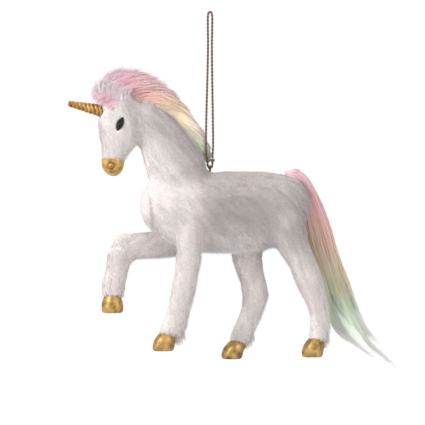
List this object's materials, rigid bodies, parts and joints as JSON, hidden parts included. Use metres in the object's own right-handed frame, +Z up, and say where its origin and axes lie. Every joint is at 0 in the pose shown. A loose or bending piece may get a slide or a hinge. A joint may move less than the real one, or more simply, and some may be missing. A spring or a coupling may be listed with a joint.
{
  "type": "hanging unicorn ornament",
  "caption": "Small fur-covered unicorn with a spiral-grooved gold horn, gold hooves and muzzle, dyed mane and tail, hung from a loop of twisted cord through a wire eye.",
  "frame": {"origin": "inside top of the cord loop, where it lies on its hook", "axes": "+X towards the tail and -X towards the nose, +Y towards the right side of the animal, +Z up"},
  "size_m": [0.1476, 0.0272, 0.1575],
  "materials": {
    "white_fur": "short white plush fur",
    "ear_felt": "short white plush fur",
    "core_pulp": "moulded paper pulp, dry and matte",
    "wire_steel": "plain drawn wire",
    "eye_brass": "bright drawn wire",
    "hoof_gold": "antique gold paint",
    "muzzle_gold": "antique gold paint",
    "horn_gold": "antique gold paint",
    "bead_black": "polished black",
    "mane_hair": "soft hair dyed in a gradient",
    "forelock_hair": "soft hair dyed pink",
    "tail_hair": "soft hair dyed in a gradient",
    "cord_brown": "two-ply twisted cord"
  },
  "bodies": {
    "loop": {"hanging_cord": "cord_brown", "cord_knot": "cord_brown"},
    "figurine": {"forelock": "forelock_hair", "head_core": "core_pulp", "head_fur": "white_fur", "horn": "horn_gold", "left_ear": "ear_felt", "left_eye": "bead_black", "left_fore_hoof": "hoof_gold", "left_foreleg_core": "core_pulp", "left_foreleg_fur": "white_fur", "left_foreleg_wire": "wire_steel", "left_hind_hoof": "hoof_gold", "left_hindleg_core": "core_pulp", "left_hindleg_fur": "white_fur", "left_hindleg_wire": "wire_steel", "mane": "mane_hair", "muzzle_cap": "muzzle_gold", "neck_core": "core_pulp", "neck_fur": "white_fur", "neck_wire": "wire_steel", "right_ear": "ear_felt", "right_eye": "bead_black", "right_fore_hoof": "hoof_gold", "right_foreleg_core": "core_pulp", "right_foreleg_lower_fur": "white_fur", "right_foreleg_upper_fur": "white_fur", "right_foreleg_wire": "wire_steel", "right_hind_hoof": "hoof_gold", "right_hindleg_core": "core_pulp", "right_hindleg_fur": "white_fur", "right_hindleg_wire": "wire_steel", "screw_eye": "eye_brass", "tail": "tail_hair", "torso_core": "core_pulp", "torso_fur": "white_fur"}
  },
  "joints": [
    {"name": "loop_swing", "type": "hinge", "parent": "loop", "child": "figurine", "pos_m": [0, 0, -0.0672], "axis": [0, 1, 0], "range_deg": [-75, 15]}
  ]
}
